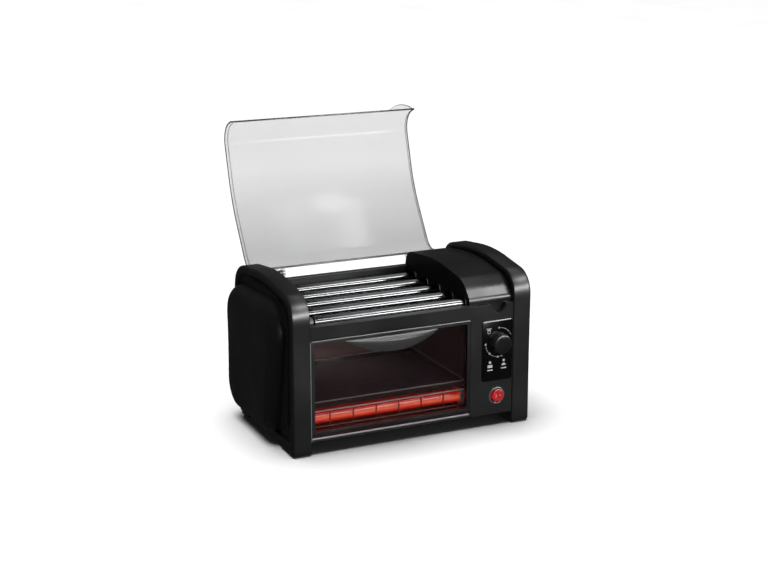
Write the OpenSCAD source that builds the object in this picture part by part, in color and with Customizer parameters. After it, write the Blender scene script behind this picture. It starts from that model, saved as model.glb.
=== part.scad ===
// Hot dog roller grill with a small oven under its rollers.
// X runs to the user's right, Y from front to back and Z up. Sizes are in millimetres.
// It is drawn with its lid open and its door closed, and its origin is on the surface that
// it stands on, under the middle of its outline.

/* [Body] */
// Width over the rims of the two end caps
body_w = 344; // [330:2:420]
// Depth of the end caps, front to back
body_d = 209; // [209:1:260]
// Height of the end caps' crown above the surface
body_h = 219; // [210:1:260]
// Clear height under the body between its feet
foot_h = 8; // [6:0.5:14]
// Thickness of the moulded walls
wall = 2.4; // [1.8:0.1:3.2]
// Thickness of the inner sheet-metal plates
sheet = 1.2; // [0.8:0.1:1.6]

/* [End caps] */
// Width of each end cap's rim band
cap_w = 26.5; // [22:0.5:32]
// How far the rounded side panel stands out of the rim
bulge = 18; // [8:0.5:20]
// Depth of the groove between the rim and the side panel
groove_deep = 5; // [2:0.5:8]
// Width of the rim around the groove
rim = 10; // [8:0.5:14]
// Thickness of the rubber pads under the feet
pad_t = 2; // [1:0.5:4]

/* [Rollers] */
// Diameter of a roller
roller_d = 16; // [14:0.5:18]
// Distance from one roller to the next
roller_pitch = 37.4; // [35:0.2:39]
// Distance from the front of the body to the first roller
roller_y = 24; // [23:0.5:28]
// Height of the rollers' axes
roller_z = 170; // [168:0.5:174]
// Diameter of the journal at each end of a roller
journal_d = 6; // [5:0.5:8]

/* [Gears] */
// Teeth on each roller's gear
roller_teeth = 18; // [18:2:18]
// Teeth on each idler between two roller gears
idler_teeth = 16; // [16:2:16]
// Teeth on the motor's pinion
pinion_teeth = 12; // [12:4:16]
// Width of the gears
gear_w = 8; // [5:0.5:10]

/* [Door] */
// Width of the control panel beside the door
panel_w = 63.5; // [62:0.5:75]
// Height of the door's lower edge
door_z = 24; // [24:0.5:28]
// Height of the door's upper edge
door_top = 152.5; // [145:0.5:152.5]
// Thickness of the door frame
door_t = 8; // [6:0.5:10]
// Thickness of the door glass
glass_t = 3; // [2.5:0.1:4]
// Length of the door handle
handle_l = 130; // [100:1:140]
// How far the handle stands out of the door
handle_out = 15; // [12:0.5:18]

/* [Lid] */
// Thickness of the clear lid
lid_t = 2.5; // [2:0.1:3]
// Gap between each end of the lid and the end cap
lid_gap = 4; // [3:0.5:10]
// Opening angle of the lid
lid_open = 114.5; // [95:0.5:118]
// Diameter of the lid's hinge pins
lid_pin_d = 4; // [3:0.5:5]
// Distance from the middle to each lid hinge
lid_hinge_x = 100; // [60:1:110]

/* [Controls] */
// Diameter of the timer knob
knob_d = 28; // [20:0.5:32]
// How far the knob stands out of the panel
knob_out = 14; // [10:0.5:18]
// Height of the timer knob's axis
knob_z = 117; // [112:0.5:125]
// Diameter of the switch bezel
bezel_d = 24; // [22:0.5:28]
// Height of the switch's middle
switch_z = 43; // [36:0.5:46]
// Travel of the rocker, end to end, in degrees
rocker_travel = 14; // [8:1:18]

/* [Heaters] */
// Diameter of the lower heater tubes
heater_d = 18; // [14:0.5:18]
// Height of the lower heater tubes' axes
heater_z = 40; // [38:0.5:42]
// Diameter of the upper heater tubes
upper_heater_d = 8; // [6:0.5:9]

/* [Hidden] */
$fn = 48;

// Clearances
run_fit = 0.05;      // radial, round a pin that turns
slip = 0.6;          // beside a moving piece
open_gap = 1.2;      // round a part that passes through a wall
thin = 0.01;         // how far a cut runs past a face

// Places along X
cap_x = body_w / 2 - cap_w;
panel_x = cap_x - panel_w;
bulkhead_x = panel_x + wall;
bay_l = -cap_x + sheet;
gear_x = bulkhead_x + sheet + 4;

// Heights
upper_gap = 1.5;     // between the rollers and the heaters under them
base_z = foot_h + 9;
rail_z = door_top + 0.5;
rail_top = roller_z;
back_top = roller_z + 12.5;
upper_z = roller_z - roller_d / 2 - upper_heater_d / 2 - upper_gap;
ceiling_z = upper_z - upper_heater_d / 2 - 0.8 - sheet;
rear_y = body_d - 9;
front_y = 1.5;
liner_y = rear_y - 11;

// Side outline of an end cap, anticlockwise as [y, z, corner radius]
crown_y = 0.5 * body_d;
cap_outline = [
    [0, foot_h, 3],
    [body_d - 4, foot_h, 26],
    [body_d, body_h - 10.5, 34],
    [crown_y, body_h + 2.5, 280],
    [0, body_h - 13, 32]
];

// Side outline of the rounded side panel
side_outline = [
    [0.25 * body_d, foot_h + 5, 28],
    [body_d - 4, foot_h + 7, 36],
    [body_d - 4, body_h - 31, 40],
    [14, body_h - 20, 45]
];

// Front and rear foot as [start, end] along Y
feet = [[0, 0.2 * body_d], [0.8 * body_d, 0.8 * body_d + 30]];

dome_edge = 8;       // how far the side panel's rounding runs inwards
dome_rise = 6;       // and how high it is
cap_lip = 14;        // width of the cap's inner wall round its opening
foot_root = 4;       // how far a foot runs up into its cap
pad_in = 2;          // how far a pad is set in from its foot's edges

// Side outline of the control housing's cover, from its front lower edge backwards
housing_outline = [
    [rear_y, rail_top, 0],
    [rear_y, body_h - 17, 20],
    [crown_y, body_h - 7, 300],
    [24, body_h - 19, 40],
    [6, body_h - 41, 12],
    [6, rail_top, 0]
];

// Outer face of the closed lid's rear wall
lid_rear = body_d + 3;

// Path of the lid's outer face when it is closed, from its free edge to its rear edge
lid_path = [
    [1.4, rail_top + 1.5, 0],
    [1.4, body_h - 13, 30],
    [crown_y, body_h + 1.5, 240],
    [lid_rear, body_h - 15, 27],
    [lid_rear, back_top - 1.5, 0]
];
hinge_y = lid_rear + 6.1;
hinge_z = back_top + 2;
lid_half = cap_x - lid_gap;

// Door frame, glass and pins
door_pin_r = 2.5;
door_l = -cap_x + sheet + slip;
door_r = panel_x - slip;
frame_side = 4;
frame_low = 6.5;
frame_high = 5;
rebate = 1.5;
pin_depth = frame_side - rebate;
glass_y = front_y + 1.2;
screw_r = 1.6;
screw_in = 1;        // how far a handle screw runs into the handle
screw_share = 0.25;  // its distance from the handle's middle, as a share of the length
screw_low = 7;       // and below the handle's top
pin_out = 1.5;       // how far the left door pin runs past its plate
handle_h = 19;       // height of the handle at its middle
handle_top = door_top - frame_high - 0.3;

// Front moulding, dial label [left, low, right, high] and switch
rail_d = 12;
label_t = 0.5;
label_r = 4;
label = [panel_x + 16.8, knob_z - 53, cap_x - 1, knob_z + 31];
sleeve_r = bezel_d / 2 - 1;
rocker_r = sleeve_r - 2.6;
rocker_axis_y = front_y + 6;
rocker_pin_r = 1.4;
rocker_out = 9.5;    // front of the rocker ahead of its axis
rocker_in = 2;       // and its back behind it
dish_r = 22;         // radius of the hollow in the rocker's front
dish_deep = 0.8;
bezel_out = 2;
sleeve_l = 12;
sleeve_wall = 1.2;
pin_gap = 0.3;       // beside the end of a pin or an ear
timer_w = 36;
timer_back = front_y + 28;
shaft_end = front_y + 14;
knob_skin = 4;
cover_gap = 0.2;     // between the control housing and its end cap

// Drive
shaft_r = 3;
bush_r = journal_d / 2 + 2;
post_r = 2.5;
motor_x = gear_x + gear_w + 5;
motor_r = 24;
motor_l = 20;
motor_in = 5;        // how far the pinion's shaft runs into the motor
bracket_half = 34;
bracket_leg = 14;
flange_t = 1.5;      // of a roller's right bush
collar_l = 10.5;     // length of the collar on its left bush
bush_out = 3;        // how far a bush's sleeve runs past its plate
journal_out = 4;     // how far a roller's left journal does
skin = 0.8;          // thickness of a roller's tube and of the trays
plate_gap = 0.5;     // beside a fixed sheet-metal edge

// Oven
heater_y = [33, liner_y - 28];
holder_l = 6;
tray_z = heater_z + heater_d / 2 + 8;
crumb_z = base_z + sheet;
slide_gap = 0.3;     // under the crumb tray
holder_wall = 2.5;   // round a heater in its holder
guard_out = 4;       // guard's distance in front of the front heater
guard_low = 10;      // guard's lower and upper wires from the heater's axis
guard_high = 11.5;
guard_bars = 6;
wire_r = 0.9;
tray_front = 19;
vent_edge = 12;      // margin of the slots in the oven's ceiling
vent_columns = 7;
vent_rows = 4;
vent_share = 0.7;    // share of a column that its slot takes
vent_y = 30;
vent_step = 40;
vent_d = 16;

// Slots in the base plate and the back panel
base_slots = 9;
slot_w = 3;
flange_d = 9;        // of the back panel's top edge
louvre_rows = 8;
louvre_z = 60;
louvre_step = 10;
louvre_h = 4;
louvre_x = [-70, 20];

// Lid hinges and cord gland
ear_w = 5;
cheek_w = 3;
ear_r = 4.2;
lid_pin_r = lid_pin_d / 2;
cheek_y = lid_rear - 1.2;
cheek_low = 1.5;     // where a cheek meets the lid, below and above the hinge's axis
cheek_high = 9;
bracket_h = 26;      // hinge bracket's foot below the top of the back panel
bracket_half_w = 9;
bracket_t = 2.5;
head_r = 3;          // rear screws' heads
head_t = 1.8;
gland_x = cap_x - 33;
gland_z = 42;
gland_r = 8;
cord_r = 3.6;

// Middle of the control panel's features
knob_x = cap_x - 21.3;
switch_x = cap_x - 23.2;
scoop_x = cap_x - 22.6;
scoop_r = 12;
scoop_z = rail_top - 1;
door_mid = (panel_x - cap_x) / 2;
door_axis_y = front_y + door_t / 2;
door_axis_z = door_z + door_t / 2;

// Gears
gear_module = roller_pitch / (roller_teeth + idler_teeth);
backlash = 0.3;
addendum = 0.9;
dedendum = 1.15;
pressure_angle = 20;
tooth_root = 0.5;    // how far a tooth is sunk into the gear's body
pinion_y = roller_y + 2 * roller_pitch;
pinion_z = roller_z - gear_module * (roller_teeth + pinion_teeth) / 2;

// ---------- outlines with rounded corners ----------

function at(c, i) = c[(i + len(c)) % len(c)];
function flat(p) = [p[0], p[1]];
function unit(v) = v / norm(v);
function left_of(v) = [-v[1], v[0]];
function turn(v, a) = [v[0] * cos(a) - v[1] * sin(a), v[0] * sin(a) + v[1] * cos(a)];

// Points of the arc that rounds corner b between a and c
function arc_at(a, b, c, r, n = 10) = r <= 0 ? [b] :
    let(u = unit(a - b), v = unit(c - b), half = acos(u * v) / 2,
        o = b + unit(u + v) * r / sin(half), s = b + u * r / tan(half) - o,
        sweep = (180 - 2 * half) * sign(cross(a - b, c - b)) * -1)
    [for (i = [0:n]) o + turn(s, sweep * i / n)];

// Closed outline from corners [a, b, radius]
function rounded(c) = [for (i = [0:len(c) - 1])
    each arc_at(flat(at(c, i - 1)), flat(c[i]), flat(at(c, i + 1)), c[i][2])];

// Open path from corners, its two ends square
function path(c) = [for (i = [0:len(c) - 1]) each (i == 0 || i == len(c) - 1) ? [flat(c[i])] :
    arc_at(flat(c[i - 1]), flat(c[i]), flat(c[i + 1]), c[i][2])];

// Corner b moved to the left of the way a-b-c by d
function moved(a, b, c, d, r) =
    let(m = left_of(unit(b - a)), n = left_of(unit(c - b)), s = (m + n) * d / (1 + m * n))
    [b[0] + s[0], b[1] + s[1], r <= 0 ? 0 : max(0.2, r - d * sign(cross(b - a, c - b)))];

// Anticlockwise closed corners moved inwards by d
function inset(c, d) = [for (i = [0:len(c) - 1])
    moved(flat(at(c, i - 1)), flat(c[i]), flat(at(c, i + 1)), d, c[i][2])];

// Open corners moved to the left by d
function beside(c, d) = [for (i = [0:len(c) - 1])
    let(b = flat(c[i]),
        a = i == 0 ? b * 2 - flat(c[1]) : flat(c[i - 1]),
        e = i == len(c) - 1 ? b * 2 - flat(c[i - 1]) : flat(c[i + 1]))
    moved(a, b, e, d, c[i][2])];

function backwards(p) = [for (i = [len(p) - 1:-1:0]) p[i]];

// Lid's cross-section, closed, and how far back it reaches when it is open
lid_section = concat(path(lid_path), backwards(path(beside(lid_path, -lid_t))));
function opened(p) = [hinge_y, hinge_z] + turn(p - [hinge_y, hinge_z], -lid_open);
lid_back = max([for (p = lid_section) opened(p)[0]]);
middle_y = (lid_back + front_y - handle_out) / 2;

// ---------- building blocks ----------

module placed() {
    translate([0, -middle_y, 0]) children();
}

module yz(points, x0, x1) {
    translate([x0, 0, 0]) rotate([90, 0, 90]) linear_extrude(x1 - x0) polygon(points);
}

module xz(points, y0, y1) {
    translate([0, y1, 0]) rotate([90, 0, 0]) linear_extrude(y1 - y0) polygon(points);
}

module box(a, b) {
    translate(a) cube(b - a);
}

module x_rod(r, x0, x1, y, z) {
    translate([x0, y, z]) rotate([0, 90, 0]) cylinder(r = r, h = x1 - x0);
}

module y_rod(r, y0, y1, x, z) {
    translate([x, y0, z]) rotate([-90, 0, 0]) cylinder(r = r, h = y1 - y0);
}

module z_rod(r, z0, z1, x, y) {
    translate([x, y, z0]) cylinder(r = r, h = z1 - z0);
}

module both_sides() {
    children();
    mirror([1, 0, 0]) children();
}

function roller_at(i) = roller_y + i * roller_pitch;

// Gear round the X axis, with a tooth or a gap towards +Y
module gear(teeth, bore_r, gap_first = false) {
    pitch_r = gear_module * teeth / 2;
    tip_r = pitch_r + addendum * gear_module;
    root_r = pitch_r - dedendum * gear_module;
    sunk = root_r - tooth_root;
    half_w = (PI * gear_module / 2 - backlash) / 2;
    lean = tan(pressure_angle);
    tooth = [[sunk, -half_w - (pitch_r - root_r) * lean],
             [tip_r, -half_w + (tip_r - pitch_r) * lean],
             [tip_r, half_w - (tip_r - pitch_r) * lean],
             [sunk, half_w + (pitch_r - root_r) * lean]];
    rotate([90, 0, 90]) difference() {
        linear_extrude(gear_w) union() {
            circle(r = root_r);
            for (i = [0:teeth - 1])
                rotate((i + (gap_first ? 0.5 : 0)) * 360 / teeth) polygon(tooth);
        }
        translate([0, 0, -thin]) cylinder(r = bore_r, h = gear_w + 2 * thin);
    }
}

// ---------- end caps and feet ----------

module side_dome(d, x0, x1, top) {
    yz(rounded(inset(side_outline, d)), x0, x1 + thin);
    hull() {
        yz(rounded(inset(side_outline, d)), x1, x1 + thin);
        yz(rounded(inset(side_outline, d + dome_edge)), top - thin, top);
    }
}

module cap() {
    out_x = body_w / 2;
    floor_x = out_x - groove_deep;
    top_x = out_x + bulge;
    shoulder_x = top_x - dome_rise;
    color("#202020") placed() difference() {
        union() {
            yz(rounded(cap_outline), cap_x, floor_x);
            difference() {
                yz(rounded(cap_outline), floor_x - thin, out_x);
                yz(rounded(inset(cap_outline, rim)), floor_x - 2 * thin, out_x + thin);
            }
            side_dome(0, floor_x - wall, shoulder_x, top_x);
            for (f = feet) box([cap_x, f[0], pad_t], [out_x, f[1], foot_h + foot_root]);
        }
        yz(rounded(inset(cap_outline, wall)), cap_x + wall, floor_x - wall);
        yz(rounded(inset(cap_outline, cap_lip)), cap_x - thin, cap_x + wall + thin);
        side_dome(wall, floor_x - 2 * wall, shoulder_x - wall / 2, top_x - wall);
        x_rod(door_pin_r + open_gap, cap_x - thin, cap_x + wall + thin, door_axis_y, door_axis_z);
    }
}

module left_cap() mirror([1, 0, 0]) cap();
module right_cap() cap();

module foot_pads() {
    color("#151515") placed() both_sides() for (f = feet)
        box([cap_x + pad_in, f[0] + pad_in, 0], [body_w / 2 - pad_in, f[1] - pad_in, pad_t]);
}

// ---------- chassis ----------

module base_plate() {
    first_x = bulkhead_x + 8;
    y = [60, 140];
    color("#55575a") placed() difference() {
        box([-cap_x, front_y + wall + slip, base_z], [cap_x, rear_y, base_z + sheet]);
        for (i = [0:base_slots - 1], x = first_x + i * 2 * slot_w)
            box([x, y[0], base_z - thin], [x + slot_w, y[1], base_z + sheet + thin]);
    }
}

module back_panel() {
    color("#26282a") placed() difference() {
        union() {
            box([-cap_x, rear_y, base_z], [cap_x, rear_y + sheet, back_top]);
            box([bay_l, rear_y - flange_d, back_top - sheet],
                [panel_x - slip, rear_y + thin, back_top]);
        }
        for (i = [0:louvre_rows - 1], z = louvre_z + i * louvre_step)
            box([louvre_x[0], rear_y - thin, z],
                [louvre_x[1], rear_y + sheet + thin, z + louvre_h]);
        y_rod(gland_r, rear_y - thin, rear_y + sheet + thin, gland_x, gland_z);
    }
}

// Oven side plate with holes for the roller bushes
module side_plate(x0, front) {
    step_y = front_y + rail_d + plate_gap;
    shoulder_z = rail_top - 2 * plate_gap;
    difference() {
        yz([[front, base_z + sheet], [rear_y, base_z + sheet], [rear_y, shoulder_z],
            [rear_y - wall, shoulder_z], [rear_y - wall, back_top - sheet],
            [step_y, back_top - sheet], [step_y, ceiling_z], [front, ceiling_z]],
           x0, x0 + sheet);
        for (i = [0:4]) x_rod(bush_r, x0 - thin, x0 + sheet + thin, roller_at(i), roller_z);
    }
}

module left_side_plate() {
    color("#8b8e90") placed() difference() {
        side_plate(-cap_x, front_y);
        x_rod(door_pin_r + run_fit, -cap_x - thin, -cap_x + sheet + thin, door_axis_y, door_axis_z);
    }
}

module bulkhead() {
    color("#8b8e90") placed() difference() {
        side_plate(bulkhead_x, front_y + rail_d);
        for (i = [0:3]) x_rod(post_r, bulkhead_x - thin, bulkhead_x + sheet + thin,
                              roller_at(i + 0.5), roller_z);
    }
}

module oven_back() {
    color("#7c7f82") placed()
        box([bay_l, liner_y, base_z + sheet], [bulkhead_x, liner_y + sheet, ceiling_z]);
}

module oven_ceiling() {
    step = (bulkhead_x - bay_l - 2 * vent_edge) / vent_columns;
    color("#7c7f82") placed() difference() {
        box([bay_l, front_y + rail_d + 2, ceiling_z], [bulkhead_x, rear_y, ceiling_z + sheet]);
        for (i = [0:vent_columns - 1], j = [0:vent_rows - 1],
             x = bay_l + vent_edge + i * step, y = vent_y + j * vent_step)
            box([x, y, ceiling_z - thin],
                [x + vent_share * step, y + vent_d, ceiling_z + sheet + thin]);
    }
}

// ---------- front moulding and control housing ----------

module fascia() {
    color("#2d2b2e") placed() difference() {
        union() {
            box([panel_x, front_y, base_z], [cap_x, front_y + wall, rail_top]);
            box([panel_x, front_y, base_z + sheet], [panel_x + wall, front_y + rail_d, rail_top]);
            box([-cap_x, front_y, rail_z], [cap_x, front_y + wall, rail_top]);
            box([-cap_x, front_y, rail_top - wall], [panel_x + wall, front_y + rail_d, rail_top]);
            box([-cap_x, front_y + rail_d - wall, rail_z], [panel_x, front_y + rail_d, rail_top]);
            intersection() {
                y_rod(scoop_r + wall, front_y, front_y + rail_d, scoop_x, scoop_z);
                box([panel_x, 0, rail_z - scoop_r], [cap_x, rail_d * 2, rail_top]);
            }
        }
        y_rod(scoop_r, front_y - thin, front_y + rail_d - wall, scoop_x, scoop_z);
        y_rod(shaft_r + open_gap, 0, front_y + wall + thin, knob_x, knob_z);
        y_rod(sleeve_r, 0, front_y + wall + thin, switch_x, switch_z);
        x_rod(door_pin_r + run_fit, panel_x - thin, panel_x + wall + thin,
              door_axis_y, door_axis_z);
    }
}

module control_housing() {
    notch_r = roller_d / 2 + open_gap;
    notch_z = roller_z - roller_d / 2 - 1;
    inner_front = housing_outline[5][0] + wall;
    web_y = front_y + rail_d + 4;
    color("#242424") placed() difference() {
        union() {
            difference() {
                yz(rounded(housing_outline), panel_x, cap_x - cover_gap);
                yz(rounded(inset(housing_outline, wall)), panel_x + wall, cap_x);
                box([panel_x + wall, inner_front, rail_top - 1],
                    [cap_x, rear_y - wall, rail_top + 8]);
            }
            box([panel_x, web_y, roller_z - roller_d / 2],
                [panel_x + wall - thin, rear_y, roller_z + 10 * thin]);
        }
        for (i = [0:4]) {
            x_rod(notch_r, panel_x - thin, panel_x + wall + thin, roller_at(i), roller_z);
            box([panel_x - thin, roller_at(i) - notch_r, notch_z],
                [panel_x + wall + thin, roller_at(i) + notch_r, roller_z]);
        }
    }
}

module dial_label() {
    c = [[label[0], label[1], label_r], [label[2], label[1], label_r],
         [label[2], label[3], label_r], [label[0], label[3], label_r]];
    color("#0c0c0e") placed() difference() {
        xz(rounded(c), front_y - label_t, front_y);
        y_rod(shaft_r + open_gap, 0, front_y + thin, knob_x, knob_z);
    }
}

// ---------- timer ----------

module timer_body() {
    half = timer_w / 2;
    color("#b9b29f") placed() difference() {
        box([knob_x - half, front_y + wall, knob_z - half],
            [knob_x + half, timer_back, knob_z + half]);
        y_rod(shaft_r + run_fit, front_y + wall - thin, shaft_end, knob_x, knob_z);
    }
}

module timer_bell() {
    r = 15;
    stem_r = 2;
    stem_h = 3;
    deep = 8;
    skin = 1.2;
    color("#c9cbcd") placed() translate([knob_x, timer_back, knob_z]) rotate([-90, 0, 0])
        rotate_extrude() polygon([[0, 0], [stem_r, 0], [stem_r, stem_h], [r - stem_h, stem_h],
                                  [r, deep], [r - 1, deep + skin / 2],
                                  [r - stem_h - 1, stem_h + skin], [0, stem_h + skin]]);
}

module timer_shaft() {
    color("#a9abad") placed()
        y_rod(shaft_r, front_y - knob_out + knob_skin, shaft_end - slip, knob_x, knob_z);
}

module timer_knob() {
    skirt = 3;
    step = 1.5;
    r = knob_d / 2;
    back = front_y - label_t - 0.5;
    front = front_y - knob_out;
    color("#161616") placed() difference() {
        union() {
            y_rod(r, back - skirt, back, knob_x, knob_z);
            y_rod(r - 0.5, front + step, back - skirt + thin, knob_x, knob_z);
            y_rod(r - step, front, front + step + thin, knob_x, knob_z);
        }
        y_rod(shaft_r, front + knob_skin, back + thin, knob_x, knob_z);
    }
}

// ---------- switch ----------

module switch_bezel() {
    front = front_y - bezel_out;
    back = front_y + sleeve_l;
    color("#8a8c8e") placed() difference() {
        union() {
            y_rod(bezel_d / 2, front, front_y, switch_x, switch_z);
            y_rod(sleeve_r, front_y - thin, back, switch_x, switch_z);
        }
        y_rod(sleeve_r - sleeve_wall, front - thin, back + thin, switch_x, switch_z);
        z_rod(rocker_pin_r + run_fit, switch_z - sleeve_r - 1, switch_z + sleeve_r + 1,
              switch_x, rocker_axis_y);
    }
}

module switch_body() {
    back = front_y + sleeve_l + 18;
    pitch = 5;
    blade = [0.8, 8, 6];
    color("#1c1c1c") placed() union() {
        y_rod(sleeve_r, front_y + sleeve_l, back, switch_x, switch_z);
        for (i = [-1:1]) translate([switch_x + i * pitch, back - thin, switch_z])
            translate([-blade[0] / 2, 0, -blade[2] / 2]) cube(blade);
    }
}

module rocker() {
    color("#c01b14") placed() translate([switch_x, rocker_axis_y, switch_z])
        rotate([0, 0, rocker_travel / 2]) union() {
            difference() {
                y_rod(rocker_r, -rocker_out, rocker_in, 0, 0);
                z_rod(dish_r, -rocker_r - 1, rocker_r + 1, 0, -rocker_out - dish_r + dish_deep);
            }
            z_rod(rocker_pin_r, -sleeve_r + pin_gap, sleeve_r - pin_gap, 0, 0);
        }
}

// ---------- rollers and drive ----------

module roller(i) {
    tube_l = bay_l + collar_l + 3 * slip;
    tube_r = panel_x - plate_gap;
    end_t = 2;
    color("#d5d7d9") placed() union() {
        difference() {
            x_rod(roller_d / 2, tube_l, tube_r, roller_at(i), roller_z);
            x_rod(roller_d / 2 - skin, tube_l + end_t, tube_r - end_t, roller_at(i), roller_z);
        }
        x_rod(journal_d / 2, -cap_x - journal_out, tube_l + 1, roller_at(i), roller_z);
        x_rod(journal_d / 2, tube_r - 1, gear_x + gear_w + 1, roller_at(i), roller_z);
    }
}

module roller_gear(i) {
    color("#e4ddc8") placed() translate([gear_x, roller_at(i), roller_z])
        gear(roller_teeth, journal_d / 2);
}

module idler_gear(i) {
    color("#d9c9a0") placed() translate([gear_x, roller_at(i + 0.5), roller_z])
        gear(idler_teeth, post_r + run_fit, true);
}

module motor_pinion() {
    color("#e4ddc8") placed() union() {
        translate([gear_x, pinion_y, pinion_z]) gear(pinion_teeth, shaft_r);
        x_rod(shaft_r, gear_x - 1.5, motor_x + motor_in, pinion_y, pinion_z);
    }
}

module idler_posts() {
    color("#9c9ea0") placed() for (i = [0:3]) {
        x_rod(post_r, bulkhead_x, gear_x + gear_w + 1, roller_at(i + 0.5), roller_z);
        x_rod(post_r + 1.5, bulkhead_x + sheet, gear_x - plate_gap, roller_at(i + 0.5), roller_z);
    }
}

// Flanged bush whose flange is at x0 and whose sleeve runs to x1
module bush(x0, x1, i, flange) {
    difference() {
        union() {
            x_rod(bush_r + 2, x0, x0 + flange, roller_at(i), roller_z);
            x_rod(bush_r, x0, x1, roller_at(i), roller_z);
        }
        x_rod(journal_d / 2 + run_fit, x0 - thin, x1 + thin, roller_at(i), roller_z);
    }
}

module left_bushes() {
    color("#e8e4d8") placed() mirror([1, 0, 0]) for (i = [0:4])
        bush(-bay_l - collar_l, cap_x + bush_out, i, collar_l);
}

module right_bushes() {
    color("#e8e4d8") placed() for (i = [0:4])
        bush(bulkhead_x - flange_t, bulkhead_x + sheet + bush_out - 1, i, flange_t);
}

module motor() {
    hub_r = 7;
    hub_out = 4;
    ear = [31, 5];
    color("#a7a9ab") placed() difference() {
        union() {
            x_rod(motor_r, motor_x, motor_x + motor_l, pinion_y, pinion_z);
            x_rod(hub_r, motor_x + motor_l - thin, motor_x + motor_l + hub_out, pinion_y, pinion_z);
            box([motor_x, pinion_y - ear[0], pinion_z - ear[1]],
                [motor_x + sheet, pinion_y + ear[0], pinion_z + ear[1]]);
        }
        x_rod(shaft_r + run_fit, motor_x - thin, motor_x + motor_in + 3, pinion_y, pinion_z);
    }
}

module motor_bracket() {
    x0 = bulkhead_x + sheet;
    x1 = motor_x;
    t = 1.5;
    low = pinion_z - motor_r - 2;
    high = pinion_z + 8;
    y0 = pinion_y - bracket_half;
    y1 = pinion_y + bracket_half;
    color("#6f7274") placed() difference() {
        union() {
            box([x1 - t, y0, low], [x1, y1, high]);
            box([x0, y0, low], [x1 - t + thin, y1, low + t]);
            box([x0, y0, low - bracket_leg], [x0 + t, y1, low + thin]);
        }
        x_rod(shaft_r + open_gap, x1 - t - 1, x1 + 1, pinion_y, pinion_z);
    }
}

// ---------- oven ----------

module heater_tubes(r, ys, z) {
    for (y = ys) x_rod(r, bay_l, bulkhead_x, y, z);
}

module lower_heaters() {
    color("#e04a2a") placed() heater_tubes(heater_d / 2, heater_y, heater_z);
}

module upper_heaters() {
    color("#b8a79c") placed()
        heater_tubes(upper_heater_d / 2, [roller_at(1), roller_at(3)], upper_z);
}

module heater_holders() {
    size = heater_d + 2 * holder_wall;
    color("#e9e6dd") placed() for (y = heater_y, x = [bay_l, bulkhead_x - holder_l]) difference() {
        box([x, y - size / 2, heater_z - size / 2], [x + holder_l, y + size / 2, heater_z + size / 2]);
        x_rod(heater_d / 2, x - thin, x + holder_l + thin, y, heater_z);
    }
}

module heater_guard() {
    y = heater_y[0] - heater_d / 2 - guard_out;
    low = heater_z - guard_low;
    high = heater_z + guard_high;
    pitch = (bulkhead_x - bay_l) / (guard_bars + 1);
    color("#b5b7b9") placed() union() {
        for (z = [low, high]) x_rod(wire_r, bay_l, bulkhead_x, y, z);
        for (i = [1:guard_bars]) z_rod(wire_r, low, high, bay_l + i * pitch, y);
    }
}

module bun_tray() {
    lip = 8;
    x0 = bay_l + 1;
    x1 = bulkhead_x - 1;
    y0 = tray_front;
    y1 = liner_y - 6;
    color("#5d5f61") placed() difference() {
        union() {
            box([x0, y0, tray_z], [x1, y1, tray_z + lip]);
            both_lugs(x0, x1, y0, y1);
        }
        box([x0 + skin, y0 + skin, tray_z + skin], [x1 - skin, y1 - skin, tray_z + lip + 1]);
    }
}

// Small lugs that rest the bun tray on the two side plates
module both_lugs(x0, x1, y0, y1) {
    lug = 10;
    z = [tray_z + 2, tray_z + 3];
    for (y = [y0 + lug + 2, y1 - 2 * lug - 2]) {
        box([bay_l, y, z[0]], [x0 + thin, y + lug, z[1]]);
        box([x1 - thin, y, z[0]], [bulkhead_x, y + lug, z[1]]);
    }
}

module crumb_tray() {
    front_t = 2;
    x0 = bay_l + slip;
    x1 = panel_x - slip;
    y1 = liner_y - slip;
    low = crumb_z + slide_gap;
    top = door_z - open_gap;
    color("#c7c9cb") placed() union() {
        difference() {
            box([x0, front_y + front_t, low], [x1, y1, top]);
            box([x0 + skin, front_y + 2 * front_t, low + skin], [x1 - skin, y1 - skin, top + 1]);
        }
        box([x0, front_y, low], [x1, front_y + front_t + thin, top]);
    }
}

// ---------- door ----------

module door_frame() {
    low_r = door_t / 2 - 0.3;
    high_r = 1.5;
    c = [[front_y, door_z, low_r], [front_y + door_t, door_z, low_r],
         [front_y + door_t, door_top, high_r], [front_y, door_top, high_r]];
    color("#1a1a1b") placed() difference() {
        yz(rounded(c), door_l, door_r);
        box([door_l + frame_side, 0, door_z + frame_low],
            [door_r - frame_side, front_y + door_t + 1, door_top - frame_high]);
        box([door_l + frame_side - rebate, glass_y, door_z + frame_low - rebate],
            [door_r - frame_side + rebate, glass_y + glass_t, door_top - frame_high + rebate]);
        for (x = [[door_l - 1, door_l + pin_depth], [door_r - pin_depth, door_r + 1]])
            x_rod(door_pin_r, x[0], x[1], door_axis_y, door_axis_z);
    }
}

module door_glass() {
    color([0.45, 0.2, 0.15, 0.5]) placed() difference() {
        box([door_l + frame_side - rebate, glass_y, door_z + frame_low - rebate],
            [door_r - frame_side + rebate, glass_y + glass_t, door_top - frame_high + rebate]);
        handle_screw_places() y_rod(screw_r, 0, front_y + door_t, 0, 0);
    }
}

// Part of a disc whose chord is 2 * half long and whose rise is h, below the line at z
function bow(half, h, z, n = 28) =
    let(r = (half * half + h * h) / (2 * h), a = asin(half / r))
    [for (i = [0:n]) [r * sin(-a + 2 * a * i / n), z - h + r - r * cos(-a + 2 * a * i / n)]];

module handle_screw_places() {
    for (s = [-1, 1]) translate([door_mid + s * handle_l * screw_share, 0, handle_top - screw_low])
        children();
}

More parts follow.
